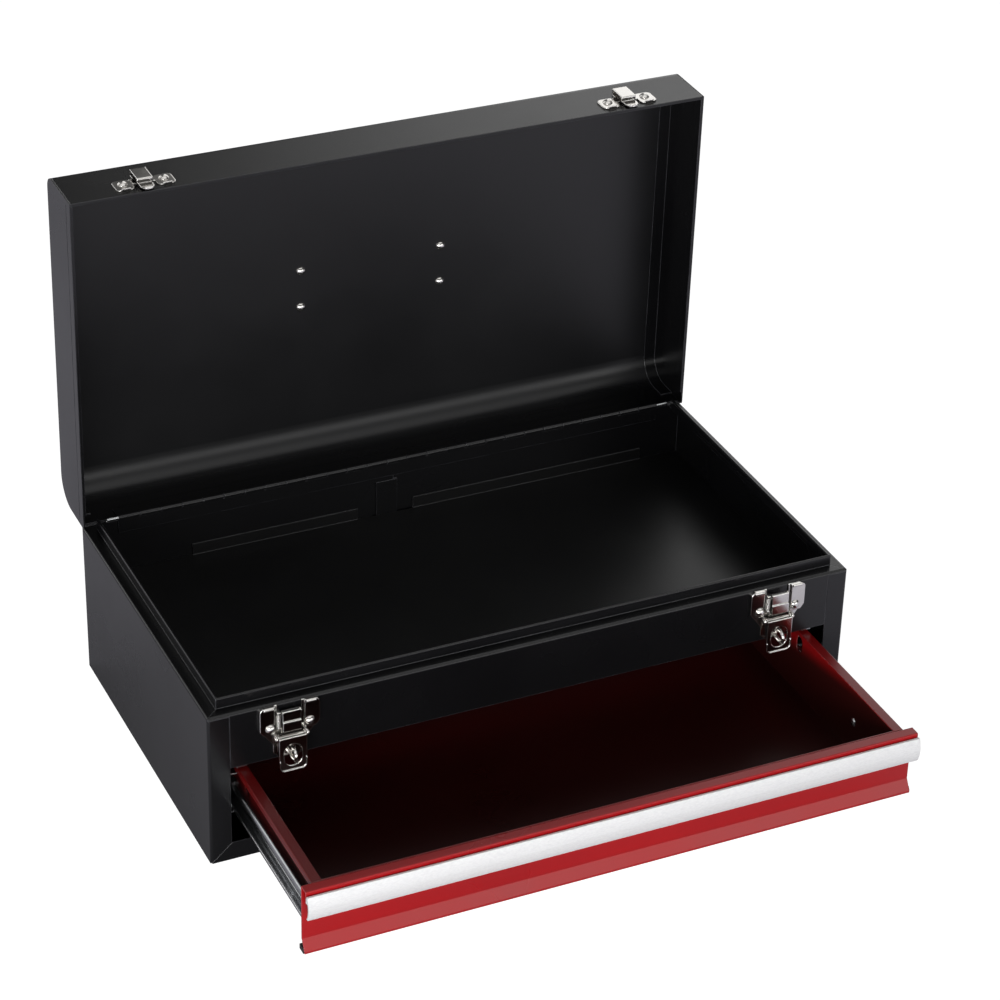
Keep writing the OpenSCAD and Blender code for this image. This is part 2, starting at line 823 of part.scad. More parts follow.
// The plate on the apron, with raised wings, two ears for the lever pin and a spring rod.
module latch_plate(side) {
  top = 0.5;
  wing_foot = 4;
  edge_r = 1.2;
  rod_top = spring_top_down - 1;
  rod_foot = spring_top_down + spring_turns * spring_wire + 0.1;
  color(nickel) at_latch(side) {
    difference() {
      union() {
        along_y(-latch_plate_t, 0) latch_outline();
        along_y(-wing_t, -latch_plate_t) intersection() {
          latch_outline();
          for (x = [0, 1])
            mirror([x, 0]) translate([wing_inner_x, -wing_h - wing_foot])
              square([latch_w, wing_h + wing_foot]);
        }
      }
      for (x = [-1, 1])
        bar_y(x * latch_rivet_x, -wing_t - 1, 1, -latch_rivet_z, rivet_d + 2 * rivet_hole_gap);
    }
    for (x = [0, 1])
      mirror([x, 0, 0])
        bar_x(wing_inner_x + 1, latch_w / 2 - 3, -wing_t, -top - edge_r, 2 * edge_r);
    for (x = [0, 1])
      mirror([x, 0, 0]) along_x(ear_x, ear_x + ear_t) difference() {
        union() {
          translate([-lever_pin_out, -lever_pin_down - ear_r]) square([lever_pin_out, 2 * ear_r]);
          translate([-lever_pin_out, -lever_pin_down]) circle(ear_r);
        }
        translate([-lever_pin_out, -lever_pin_down]) circle(d = lever_pin_d + 2 * pin_gap);
      }
    for (z = [-rod_top, -rod_foot - 1])
      block([spring_x - 1.2, -spring_out - 1.6, z], [spring_x + 1.2, 0, z + 1]);
    translate([spring_x, -spring_out, -rod_foot - 0.5])
      cylinder(h = rod_foot - rod_top + 1, r = spring_rod_r);
  }
}

module latch_plate_left() {
  latch_plate(-1);
}

module latch_plate_right() {
  latch_plate(1);
}

// The coil spring on the latch plate's rod.
module latch_spring(side) {
  coil_r = spring_r - spring_wire / 2;
  color(nickel) at_latch(side)
    translate([spring_x, -spring_out, -spring_top_down - spring_turns * spring_wire])
      rotate_extrude() {
        for (i = [0 : spring_turns - 1])
          translate([coil_r, (i + 0.5) * spring_wire]) circle(d = spring_wire);
        translate([coil_r - 0.1, spring_wire / 2])
          square([0.2, (spring_turns - 1) * spring_wire]);
      }
}

module latch_spring_left() {
  latch_spring(-1);
}

module latch_spring_right() {
  latch_spring(1);
}

// The pin through the ears, with a flat head at each end.
module lever_pin(side) {
  head_t = 0.8;
  head_d = 4.2;
  end_x = ear_x + ear_t;
  color(nickel) at_latch(side) {
    bar_x(-end_x - head_t, end_x + head_t, -lever_pin_out, -lever_pin_down, lever_pin_d);
    for (x = [-end_x - head_t, end_x])
      bar_x(x, x + head_t, -lever_pin_out, -lever_pin_down, head_d);
  }
}

module lever_pin_left() {
  lever_pin(-1);
}

module lever_pin_right() {
  lever_pin(1);
}

// The half ring that takes a padlock through the lever's eye.
module padlock_staple(side) {
  color(nickel) at_latch(side) translate([0, -latch_plate_t, eye_z - body_h + 1]) {
    for (z = [-1, 1])
      bar_y(0, -staple_leg, 0, z * staple_r, staple_wire);
    translate([0, -staple_leg, 0]) rotate([0, 90, 0]) rotate([0, 0, 180])
      rotate_extrude(angle = 180) translate([staple_r, 0]) circle(d = staple_wire);
  }
}

module padlock_staple_left() {
  padlock_staple(-1);
}

module padlock_staple_right() {
  padlock_staple(1);
}

// Places a child at each of the four latch rivets, on the case's front face.
module latch_rivet_spots() {
  for (side = [-1, 1], x = [-1, 1])
    at_latch(side) translate([x * latch_rivet_x, 0, -latch_rivet_z]) children();
}

module latch_rivets() {
  color(nickel) latch_rivet_spots() {
    bar_y(0, -wing_t - eps, sheet + eps, 0, rivet_d);
    bar_y(0, sheet, sheet + 1, 0, rivet_head_d);
    translate([0, -wing_t, 0]) dome_head(rivet_head_d, rivet_head_h);
  }
}

// Outline of the lever's plate, drawn in X and Z and taken in by t.
module lever_outline(t) {
  half = lever_cheek_x + lever_t - t;
  corner = lever_corner_r - t;
  bottom = lever_z - body_h + t;
  top = -lever_top_down;
  translate([-half, bottom + corner]) square([2 * half, top - bottom - corner]);
  translate([-half + corner, bottom]) square([2 * (half - corner), top - bottom]);
  for (x = [-1, 1])
    translate([x * (half - corner), bottom + corner]) circle(corner);
}

// The lever: a plate with a padlock eye, two cheeks on the pin and a rim round its foot.
module latch_lever(side) {
  half = lever_cheek_x + lever_t;
  top = -lever_top_down;
  bottom = lever_z - body_h;
  cheek_down = 38;
  rim_in = 5.6;
  rim_h = 9;
  color(nickel) at_latch(side) {
    along_y(-lever_face_out - lever_t, -lever_face_out) difference() {
      lever_outline(0);
      translate([0, eye_z - body_h]) rounded_square(eye_w, eye_h, eye_w / 2 - eps);
    }
    along_y(-lever_face_out - lever_t - lever_rim, -lever_face_out - lever_t + eps) intersection() {
      difference() {
        lever_outline(0);
        lever_outline(lever_rim);
      }
      translate([-half, bottom]) square([2 * half, rim_h]);
    }
    for (x = [0, 1])
      mirror([x, 0, 0]) along_x(lever_cheek_x, lever_cheek_x + lever_t) difference() {
        union() {
          translate([-lever_pin_out, -lever_pin_down]) circle(d = 2 * ear_r - 0.4);
          polygon([[-lever_pin_out - 2, -lever_pin_down + 1.2], [-lever_face_out - lever_t, top],
            [-lever_face_out - lever_t, -cheek_down - 8], [-lever_face_out + 1, -cheek_down - 8],
            [-rim_in, -cheek_down], [-lever_pin_out + 2, -lever_pin_down - 1.2]]);
        }
        translate([-lever_pin_out, -lever_pin_down]) circle(d = lever_pin_d + 2 * pin_gap);
      }
  }
}

module latch_lever_left() {
  latch_lever(-1);
}

module latch_lever_right() {
  latch_lever(1);
}

// The sliding claw, which rises behind the lever pin and hooks over the strike's tongue.
module latch_claw(side) {
  color(nickel) at_latch(side) along_x(-claw_x, claw_x) {
    translate([-claw_back - claw_t, -claw_foot_down]) square([claw_t, claw_foot_down - claw_step_down]);
    translate([-claw_face - claw_t, -claw_step_down - claw_t])
      square([claw_face + claw_t - claw_back, claw_t]);
    translate([-claw_face - claw_t, -claw_step_down - eps])
      square([claw_t, claw_step_down - claw_top_down + eps]);
    translate([-claw_face - claw_t - claw_link_t, -claw_step_down - claw_t])
      square([claw_link_t + eps, claw_link_h]);
    translate([-claw_face - claw_t, -claw_top_down - claw_t])
      square([claw_face + claw_t - claw_tip_in, claw_t]);
  }
}

module latch_claw_left() {
  latch_claw(-1);
}

module latch_claw_right() {
  latch_claw(1);
}

// ---------- Handle ----------

// Places a child at each of the four handle rivets, on the closed lid's top.
module handle_rivet_spots() {
  for (x = [-1, 1], y = [-1, 1])
    translate([x * bracket_x, handle_y + y * bracket_pitch / 2, lid_z1]) children();
}

// A bracket on the lid's top: two riveted feet and a round eye for the handle.
module handle_bracket(side) {
  eye_r = bail_d / 2 + eye_wall;
  foot_len = bracket_pitch + bracket_foot;
  color(nickel) lid_place() difference() {
    translate([side * bracket_x, handle_y, lid_z1]) along_x(-bracket_w / 2, bracket_w / 2) difference() {
      union() {
        translate([-foot_len / 2, 0]) square([foot_len, bracket_t]);
        translate([-eye_r, 0]) square([2 * eye_r, handle_axis_up]);
        translate([0, handle_axis_up]) circle(eye_r);
      }
      translate([0, handle_axis_up]) circle(bail_d / 2 + pin_gap);
    }
    handle_rivet_spots() cylinder(h = 4 * bracket_t, d = rivet_d + 2 * rivet_hole_gap, center = true);
  }
}

module handle_bracket_left() {
  handle_bracket(-1);
}

module handle_bracket_right() {
  handle_bracket(1);
}

module handle_rivets() {
  color(nickel) lid_place() handle_rivet_spots() {
    translate([0, 0, -sheet - 1]) cylinder(h = sheet + bracket_t + 1 + eps, d = rivet_d);
    translate([0, 0, bracket_t]) rotate([-90, 0, 0]) dome_head(rivet_head_d, rivet_head_h);
    translate([0, 0, -sheet]) rotate([90, 0, 0]) dome_head(rivet_head_d, rivet_head_h);
  }
}

// Moves to the handle's axis with Y along its legs, which hang straight down.
module handle_place() {
  lid_place() translate([0, handle_y, lid_z1 + handle_axis_up]) rotate([-hang_tilt, 0, 0]) children();
}

// The bent wire of the handle.
module handle_bail() {
  color(nickel) handle_place() {
    bar_x(-handle_leg_x + bail_bend_r, handle_leg_x - bail_bend_r, handle_reach, 0, bail_d);
    for (side = [0, 1])
      mirror([side, 0, 0]) {
        bar_x(bail_end_x, handle_leg_x, 0, 0, bail_d);
        translate([handle_leg_x, 0, 0]) sphere(d = bail_d);
        bar_y(handle_leg_x, 0, handle_reach - bail_bend_r, 0, bail_d);
        translate([handle_leg_x - bail_bend_r, handle_reach - bail_bend_r, 0])
          rotate_extrude(angle = 90) translate([bail_bend_r, 0]) circle(d = bail_d);
      }
  }
}

// The tube round the handle's wire.
module handle_grip() {
  half_len = handle_leg_x - bail_bend_r - grip_end_gap;
  bore_r = bail_d / 2 + pin_gap;
  grip_r = grip_d / 2;
  end_r = min(2, 0.45 * (grip_r - bore_r));
  color(black_plastic) handle_place()
    translate([-half_len, handle_reach, 0]) rotate([0, 90, 0]) rotate_extrude() {
      translate([bore_r, 0]) square([grip_r - end_r - bore_r, 2 * half_len]);
      translate([bore_r, end_r]) square([grip_r - bore_r, 2 * half_len - 2 * end_r]);
      for (y = [end_r, 2 * half_len - end_r])
        translate([grip_r - end_r, y]) circle(end_r);
    }
}

// ---------- Drawer ----------

// The folded box behind the drawer front.
module drawer_box() {
  z0 = drawer_floor_z;
  z1 = drawer_top_z;
  t = drawer_sheet;
  y0 = drawer_y + t;
  y1 = drawer_y + drawer_d;
  slot_y = front_y + 7 - drawer_y;
  slot_h = 14;
  slot_w = 9;
  color(red_paint) difference() {
    union() {
      block([-drawer_side_x, y0, z0], [drawer_side_x, y1, z0 + t]);
      for (side = [0, 1])
        mirror([side, 0, 0]) {
          block([drawer_inner_x, y0, z0], [drawer_side_x, y1, z1]);
          block([drawer_inner_x, y0, z1 - t], [side_flange_x - t, y1, z1]);
          block([side_flange_x - t, y0, z1 - side_flange_drop], [side_flange_x, y1, z1 - t]);
          bar_y(side_flange_x - t, y0, y1, z1 - t, 2 * t);
        }
      block([-drawer_side_x, y0, z0], [drawer_side_x, y0 + t, z1]);
      block([-drawer_side_x, y1 - t, z0], [drawer_side_x, y1, z1]);
      block([-drawer_side_x, y1 - 6, z1 - t], [drawer_side_x, y1, z1]);
    }
    for (side = [-1, 1], y = drawer_rivet_y)
      bar_x(side * drawer_side_x - 3, side * drawer_side_x + 3, drawer_y + y, slide_z,
        rivet_d + 2 * rivet_hole_gap);
    for (side = [-1, 1])
      translate([side * drawer_side_x, drawer_y + slot_y, z1 - 10])
        rotate([90, 0, 90]) linear_extrude(4, center = true) rounded_square(slot_w, slot_h, slot_w / 2 - eps);
  }
}

// The front sheet: a kicked-out foot, a flat face and a flange that carries the pull.
module drawer_front() {
  z1 = drawer_top_z;
  t = drawer_sheet;
  kick_z = front_z0 + kick_h;
  color(red_paint) translate([0, drawer_y, 0]) along_x(-front_half_w, front_half_w) {
    difference() {
      polygon([[0, kick_z], [0, z1 - t], [-flange_out + t, z1 - t], [-flange_out + t, z1 - flange_drop],
        [-flange_out, z1 - flange_drop], [-flange_out, z1], [t, z1], [t, kick_z],
        [t - kick_out, front_z0 + foot_h], [t - kick_out, front_z0], [-kick_out, front_z0],
        [-kick_out, front_z0 + foot_h]]);
      for (side = [0, 1])
        translate([side * (t - flange_out), z1 - t]) mirror([side, 0]) difference() {
          square(2 * t);
          circle(t);
        }
    }
  }
}

// The pull bar: a curved strip with a leg on the flange's lip and a bead just clear of the lip.
module drawer_pull() {
  mid_z = (pull_z0 + pull_z1) / 2;
  arc_y = pull_face_y - pull_bulge + pull_inner_r;
  front = pull_bulge + pull_t;
  color(aluminium) along_x(-front_half_w, front_half_w) {
    intersection() {
      translate([arc_y, mid_z]) circle(pull_inner_r + pull_t);
      union() {
        difference() {
          translate([pull_face_y - front, pull_z0]) square([front, pull_h]);
          translate([arc_y, mid_z]) circle(pull_inner_r);
        }
        translate([pull_face_y - pull_bulge, pull_z1 - pull_leg_drop - pull_leg_h])
          square([pull_bulge + pull_leg_t, pull_leg_h]);
      }
    }
    translate([pull_face_y + pull_leg_t - pull_bead_gap - pull_bead_r, pull_z1 - pull_bead_r])
      circle(pull_bead_r);
  }
}

// The rivets that hold the drawer to its slides.
module drawer_rivets() {
  in_x = drawer_inner_x;
  out_x = drawer_side_x + slide_metal;
  tail_t = 1;
  color(zinc) for (side = [0, 1], y = drawer_rivet_y)
    mirror([side, 0, 0]) {
      bar_x(in_x, out_x + eps, drawer_y + y, slide_z, rivet_d);
      bar_x(out_x, out_x + tail_t, drawer_y + y, slide_z, rivet_head_d);
      translate([in_x, drawer_y + y, slide_z]) rotate([0, 0, -90])
        dome_head(drawer_rivet_head_d, drawer_rivet_head_h);
    }
}

// The pads behind the drawer front's lower corners, which follow the slope of its foot.
module drawer_bumpers() {
  pad_w = 8;
  pad_h = 4;
  pad_x = opening_x - 0.3;
  pad_back = slide_setback - drawer_sheet;
  foot_y = drawer_sheet - kick_out;
  slope = kick_out / (kick_h - foot_h);
  color(black_plastic) for (side = [0, 1])
    mirror([side, 0, 0]) translate([0, drawer_y, front_z0]) along_x(pad_x - pad_w, pad_x)
      polygon([[foot_y, 0], [foot_y, foot_h], [foot_y + slope * (pad_h - foot_h), pad_h],
        [pad_back, pad_h], [pad_back, 0]]);
}

// ---------- Nodes ----------

shell_left();
shell_right();
front_apron();
bottom_panel();
tray_pan();
slide_bracket_left();
slide_bracket_right();
guide_clip_left();
guide_clip_right();
slide_case_left();
slide_case_right();
hinge_leaf_case();
hinge_pin();
latch_plate_left();
latch_plate_right();
latch_spring_left();
latch_spring_right();
lever_pin_left();
lever_pin_right();
padlock_staple_left();
padlock_staple_right();
latch_rivets();
latch_lever_left();
latch_lever_right();
latch_claw_left();
latch_claw_right();
lid_shell();
lid_end_left();
lid_end_right();
hinge_leaf_lid();
strike_left();
strike_right();
strike_rivets();
handle_bracket_left();
handle_bracket_right();
handle_rivets();
handle_bail();
handle_grip();
drawer_box();
drawer_front();
drawer_pull();
drawer_rivets();
drawer_bumpers();
slide_drawer_left();
slide_drawer_right();
ball_cage_left();
ball_cage_right();
slide_balls_left();
slide_balls_right();
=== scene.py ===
# %% [markdown]
# # A steel tool box with a lid and one drawer
#
# The metal parts come as a finished, dimensioned model. This lesson gives them their finishes,
# winds the two small latch springs, which need a finer shape than the model has, and lights the
# box on a white table. Lengths are in metres, X is to the right, Y to the back and Z up.

# %% Load the dimensioned model
import json
import math

import bmesh
import bpy
from mathutils import Matrix, Vector


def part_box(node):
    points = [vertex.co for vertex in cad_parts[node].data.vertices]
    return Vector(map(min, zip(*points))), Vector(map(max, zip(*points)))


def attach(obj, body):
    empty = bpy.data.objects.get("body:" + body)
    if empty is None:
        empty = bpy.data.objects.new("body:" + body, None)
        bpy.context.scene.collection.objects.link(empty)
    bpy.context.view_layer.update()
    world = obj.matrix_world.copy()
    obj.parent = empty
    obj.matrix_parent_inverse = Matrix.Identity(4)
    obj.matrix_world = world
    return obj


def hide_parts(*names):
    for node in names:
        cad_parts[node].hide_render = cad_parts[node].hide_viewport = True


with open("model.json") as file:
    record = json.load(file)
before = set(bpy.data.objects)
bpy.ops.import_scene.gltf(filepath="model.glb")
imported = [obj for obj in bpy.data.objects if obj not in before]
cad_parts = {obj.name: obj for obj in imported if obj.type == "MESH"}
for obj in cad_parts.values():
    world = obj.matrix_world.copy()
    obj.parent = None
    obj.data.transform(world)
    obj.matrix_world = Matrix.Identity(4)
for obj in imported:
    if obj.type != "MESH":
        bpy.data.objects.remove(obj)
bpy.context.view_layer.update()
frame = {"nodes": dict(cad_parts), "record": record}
nodes = frame["nodes"]

# %% [markdown]
# ## Where we stand
#
# A camera can be placed by hand, or by the direction from the object to the lens. The second way
# is easier to read and to repeat: an angle round the box, an angle above it, a distance and the
# point that it looks at. A small roll tilts the picture the way a hand-held camera does.

# %% Place the camera
view_azimuth = math.radians(-25.494)
view_elevation = math.radians(31.234)
view_roll = math.radians(1.639)
view_distance = 2.4442
view_target = Vector((0.02983, -0.0015, 0.16474))
view_lens = 114.893
sensor_width = 36

to_camera = Vector(
    (
        math.sin(view_azimuth) * math.cos(view_elevation),
        -math.cos(view_azimuth) * math.cos(view_elevation),
        math.sin(view_elevation),
    )
)
level_right = Vector((math.cos(view_azimuth), math.sin(view_azimuth), 0))
level_up = to_camera.cross(level_right)
right = math.cos(view_roll) * level_right + math.sin(view_roll) * level_up
up = -math.sin(view_roll) * level_right + math.cos(view_roll) * level_up

camera_data = bpy.data.cameras.new("camera")
camera_data.lens = view_lens
camera_data.sensor_width = sensor_width
camera_data.clip_start = 0.05
camera_data.clip_end = 50
camera = bpy.data.objects.new("camera", camera_data)
camera.matrix_world = Matrix.Translation(view_target + view_distance * to_camera) @ Matrix(
    (right, up, to_camera)
).transposed().to_4x4()
bpy.context.scene.collection.objects.link(camera)
bpy.context.scene.camera = camera
print("camera at", [round(v, 3) for v in camera.matrix_world.translation])

# %% [markdown]
# ## Helpers for node trees
#
# Every finish below is a small network of nodes. A few helpers keep them short. One adds a node and
# sets its values, and one starts a material and hands back its Principled shader. Two more start a
# node group and place it in a material.


# %% Add nodes, start materials and groups
def add_node(tree, kind, links=None, **values):
    """Adds a node, sets its properties or input values, and links the inputs given."""
    node = tree.nodes.new(kind)
    for name, value in values.items():
        if hasattr(node, name):
            setattr(node, name, value)
        else:
            node.inputs[name.replace("_", " ")].default_value = value
    for name, socket in (links or {}).items():
        tree.links.new(socket, node.inputs[name])
    return node


def start_material(name, **values):
    """A new material and its Principled shader, with plain values on the shader's own sockets."""
    material = bpy.data.materials.new(name)
    material.use_nodes = True
    shader = material.node_tree.nodes["Principled BSDF"]
    for key, value in values.items():
        shader.inputs[key.replace("_", " ")].default_value = value
    return material, material.node_tree, shader


def start_group(name, inputs, outputs):
    """A new shader node group with named sockets, and its two end nodes."""
    tree = bpy.data.node_groups.new(name, "ShaderNodeTree")
    for label, kind, value in inputs:
        socket = tree.interface.new_socket(label, in_out="INPUT", socket_type=kind)
        socket.default_value = value
    for label, kind in outputs:
        tree.interface.new_socket(label, in_out="OUTPUT", socket_type=kind)
    return tree, tree.nodes.new("NodeGroupInput"), tree.nodes.new("NodeGroupOutput")


def use_group(tree, group, **values):
    """Places a node group in a material and sets its inputs."""
    node = tree.nodes.new("ShaderNodeGroup")
    node.node_tree = group
    for name, value in values.items():
        node.inputs[name.replace("_", " ")].default_value = value
    return node


print("helpers ready")

# %% [markdown]
# ## Helpers for small steps
#
# A few steps come back in every finish: a range of values is stretched to another range, two values
# are multiplied or compared, a direction is measured along another, two colours are mixed, and fine
# relief is put on the surface. Each step is one node, and each helper hands on what the node puts
# out, so that the steps can be written one after the other like a recipe.


# %% Stretch, calculate, mix and emboss
def feed(tree, socket, value):
    """Gives a socket a plain value or another node's output."""
    if isinstance(value, bpy.types.NodeSocket):
        tree.links.new(value, socket)
    else:
        socket.default_value = value


def remap(tree, value, low=0.0, high=1.0, to_low=0.0, to_high=1.0, curve="LINEAR"):
    """Stretches low..high to to_low..to_high and stops at both ends; low may be above high."""
    node = add_node(
        tree,
        "ShaderNodeMapRange",
        {"Value": value},
        interpolation_type=curve,
        From_Min=low,
        From_Max=high,
        To_Min=to_low,
        To_Max=to_high,
    )
    return node.outputs["Result"]


def calculate(tree, operation, *values):
    """Works on one or two values, each of them a number or another node's output."""
    node = add_node(tree, "ShaderNodeMath", operation=operation)
    for socket, value in zip(node.inputs, values):
        feed(tree, socket, value)
    return node.outputs["Value"]


def measure_along(tree, first, second):
    """How far one vector reaches along another."""
    node = add_node(tree, "ShaderNodeVectorMath", {0: first}, operation="DOT_PRODUCT")
    feed(tree, node.inputs[1], second)
    return node.outputs["Value"]


def mix_colours(tree, share, first, second):
    """Mixes two colours, each of them three numbers or another node's output."""
    node = add_node(tree, "ShaderNodeMix", {"Factor": share}, data_type="RGBA")
    for name, colour in (("A", first), ("B", second)):
        feed(tree, node.inputs[name], (*colour, 1) if isinstance(colour, tuple) else colour)
    return node.outputs["Result"]


def add_relief(tree, shader, height, fold, strength, depth=0.0002):
    """Fine relief on the rounded normal of the folds, given to the shader."""
    bump = add_node(
        tree,
        "ShaderNodeBump",
        {"Height": height, "Normal": fold.outputs["Normal"]},
        Strength=strength,
        Distance=depth,
    )
    tree.links.new(bump.outputs["Normal"], shader.inputs["Normal"])


print("steps ready")

# %% [markdown]
# ## Grain
#
# Sprayed paint dries with a fine skin like an orange's, and plated steel has a faint cloudy
# surface. Both are noise at two sizes. One group serves all of them: it reads the piece's own
# coordinates, so the pattern stays on the piece, and puts out a height and a slow-changing mask.

# %% Build the grain group
grain, ends_in, ends_out = start_group(
    "grain",
    [("Scale", "NodeSocketFloat", 600.0), ("Patch Scale", "NodeSocketFloat", 9.0)],
    [("Height", "NodeSocketFloat"), ("Patches", "NodeSocketFloat")],
)
place = add_node(grain, "ShaderNodeTexCoord")
fine = add_node(
    grain,
    "ShaderNodeTexNoise",
    {"Vector": place.outputs["Object"], "Scale": ends_in.outputs["Scale"]},
    Detail=3.0,
    Roughness=0.55,
)
slow = add_node(
    grain,
    "ShaderNodeTexNoise",
    {"Vector": place.outputs["Object"], "Scale": ends_in.outputs["Patch Scale"]},
    Detail=4.0,
    Roughness=0.6,
)
grain.links.new(fine.outputs["Fac"], ends_out.inputs["Height"])
grain.links.new(slow.outputs["Fac"], ends_out.inputs["Patches"])
print("grain sockets", [s.name for s in grain.interface.items_tree])

# %% [markdown]
# ## Worn and rounded edges, with a painted highlight
#
# A folded sheet has no knife edges. Light catches each fold along a thin line, and paint is
# thinner there. The Bevel node gives a normal that turns softly round an edge without new
# geometry, and where that normal differs from the flat one there is an edge: that is the mask.
# Noise breaks it up, because no edge wears evenly. The finishes give this mask a lighter colour:
# thin paint on the paints and wear on the metals, and in both partly a painted highlight.

# %% Build the edge group
hardly_turned, well_turned = 0.995, 0.86
rub_from, rub_to = 0.42, 0.62

edges, ends_in, ends_out = start_group(
    "edges",
    [("Radius", "NodeSocketFloat", 0.0008), ("Breakup", "NodeSocketFloat", 0.5)],
    [("Normal", "NodeSocketVector"), ("Mask", "NodeSocketFloat")],
)
soft = add_node(edges, "ShaderNodeBevel", {"Radius": ends_in.outputs["Radius"]}, samples=6)
flat = add_node(edges, "ShaderNodeNewGeometry")
agree = measure_along(edges, soft.outputs["Normal"], flat.outputs["Normal"])
differ = remap(edges, agree, hardly_turned, well_turned)
place = add_node(edges, "ShaderNodeTexCoord")
rub = add_node(
    edges, "ShaderNodeTexNoise", {"Vector": place.outputs["Object"]}, Scale=55.0, Detail=5.0
)
edge_wear_and_highlight = remap(edges, rub.outputs["Fac"], rub_from, rub_to)
lost = calculate(edges, "MULTIPLY", edge_wear_and_highlight, ends_in.outputs["Breakup"])
kept = calculate(edges, "SUBTRACT", 1.0, lost)
# The mask for lighter edges: thin paint and wear, and partly a painted highlight.
wear_and_highlight_mask = calculate(edges, "MULTIPLY", differ, kept)
edges.links.new(soft.outputs["Normal"], ends_out.inputs["Normal"])
edges.links.new(wear_and_highlight_mask, ends_out.inputs["Mask"])
print("edge sockets", [s.name for s in edges.interface.items_tree])

# %% [markdown]
# ## Paint
#
# The case and lid are sprayed gloss black, the tray's floor a little duller, the drawer red. All
# get the same treatment: a base colour that varies a little in patches, a lighter line over each
# fold that is partly thin paint and partly a painted highlight, and the fine skin as bump. Gloss
# black is nearly all reflection, so its own colour is very dark and the room does the rest. A
# helper makes each paint.

# %% Make a paint
# The slow noise stays mostly between these two values.
patch_low, patch_high = 0.3, 0.7
darker_share, lighter_share = 0.82, 1.18
glossier_by, duller_by = 0.04, 0.05


def make_paint(name, colour, thin_paint_and_highlight, rough, skin, shine):
    """Sprayed paint: colour in patches, a lighter fold line (thin paint and painted highlight) and
    an orange-peel skin.
    """
    material, tree, shader = start_material(name, Specular_IOR_Level=shine)
    texture = use_group(tree, grain, Scale=750.0, Patch_Scale=7.0)
    fold = use_group(tree, edges, Radius=0.0009, Breakup=0.6)
    patches = texture.outputs["Patches"]
    darker, lighter = (tuple(c * share for c in colour) for share in (darker_share, lighter_share))
    coat = mix_colours(tree, patches, darker, lighter)
    # Along the folds the colour turns lighter: partly thin paint, partly a painted highlight.
    coat = mix_colours(tree, fold.outputs["Mask"], coat, thin_paint_and_highlight)
    tree.links.new(coat, shader.inputs["Base Color"])
    gloss = remap(tree, patches, patch_low, patch_high, rough - glossier_by, rough + duller_by)
    tree.links.new(gloss, shader.inputs["Roughness"])
    add_relief(tree, shader, texture.outputs["Height"], fold, skin)
    return material


black_paint = make_paint(
    "black_paint",
    (0.0040, 0.0040, 0.0046),
    thin_paint_and_highlight=(0.060, 0.060, 0.068),
    rough=0.25,
    skin=0.22,
    shine=0.45,
)
tray_black = make_paint(
    "tray_black",
    (0.0020, 0.0020, 0.0023),
    thin_paint_and_highlight=(0.050, 0.050, 0.055),
    rough=0.38,
    skin=0.28,
    shine=0.55,
)
red_paint = make_paint(
    "red_paint",
    (0.400, 0.0045, 0.0070),
    thin_paint_and_highlight=(0.50, 0.07, 0.075),
    rough=0.30,
    skin=0.18,
    shine=0.45,
)
print("paints", black_paint.name, tray_black.name, red_paint.name)

# %% [markdown]
# ## The drawer's inside, with painted shade
#
# The inside of the drawer gets a painted shade: towards the floor the red turns to a
# brown that is nearly black. The red paint is copied and a soft mask is added by the height in the
# drawer. Towards the back the mask starts lower. Two sharp masks keep the outside red: they end
# less than a sheet's thickness inside the drawer's sides and top. The rim on top gets a share of
# the darker colour too, a painted shade that is stronger on the left than on the right.

# %% Paint shade into the drawer's inside
painted_shade_colour = (0.034, 0.0042, 0.0036)
red_above, shade_full_below = 0.036, 0.012
back_tilt = 0.16
within_sheet = 0.0008
rim_depth = 0.004
left_share, right_share = 0.72, 0.40

drawer_red = red_paint.copy()
drawer_red.name = "drawer_red"
tree = drawer_red.node_tree
shader = tree.nodes["Principled BSDF"]
red = shader.inputs["Base Color"].links[0].from_socket
box_low, box_high = (Vector(v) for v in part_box("drawer_box"))
where = add_node(tree, "ShaderNodeTexCoord")
axes = add_node(tree, "ShaderNodeSeparateXYZ", {"Vector": where.outputs["Object"]})
x, y, z = (axes.outputs[axis] for axis in "XYZ")
height = calculate(tree, "ADD", z, calculate(tree, "MULTIPLY", y, back_tilt))
# Painted shade inside: the colour darkens towards the floor, starting lower towards the back.
inside_shade = remap(tree, height, box_low.z + red_above, box_low.z + shade_full_below, curve="SMOOTHSTEP")
for value, outside in ((calculate(tree, "ABSOLUTE", x), box_high.x), (z, box_high.z)):
    inside = calculate(tree, "LESS_THAN", value, outside - within_sheet)
    inside_shade = calculate(tree, "MULTIPLY", inside_shade, inside)
# Painted shade on the top rim, stronger on the left than on the right.
rim = calculate(tree, "GREATER_THAN", z, box_high.z - rim_depth)
share = remap(tree, x, box_low.x, box_high.x, left_share, right_share)
rim_shade = calculate(tree, "MULTIPLY", rim, share)
either = calculate(tree, "MAXIMUM", inside_shade, rim_shade)
tree.links.new(mix_colours(tree, either, red, painted_shade_colour), shader.inputs["Base Color"])
print("drawer from", [round(v, 4) for v in box_low], "to", [round(v, 4) for v in box_high])

# %% [markdown]
# ## The lid's satin inside
#
# The lid's inside got one thin coat and dried satin: its reflections are wide and soft. The
# surfaces that face the front when the lid stands open are the inside, so the piece's own normal
# picks them out, and only their roughness is raised.

# %% Make the lid's paint
facing_from, facing_to = -0.3, -0.8
extra_roughness = 0.13

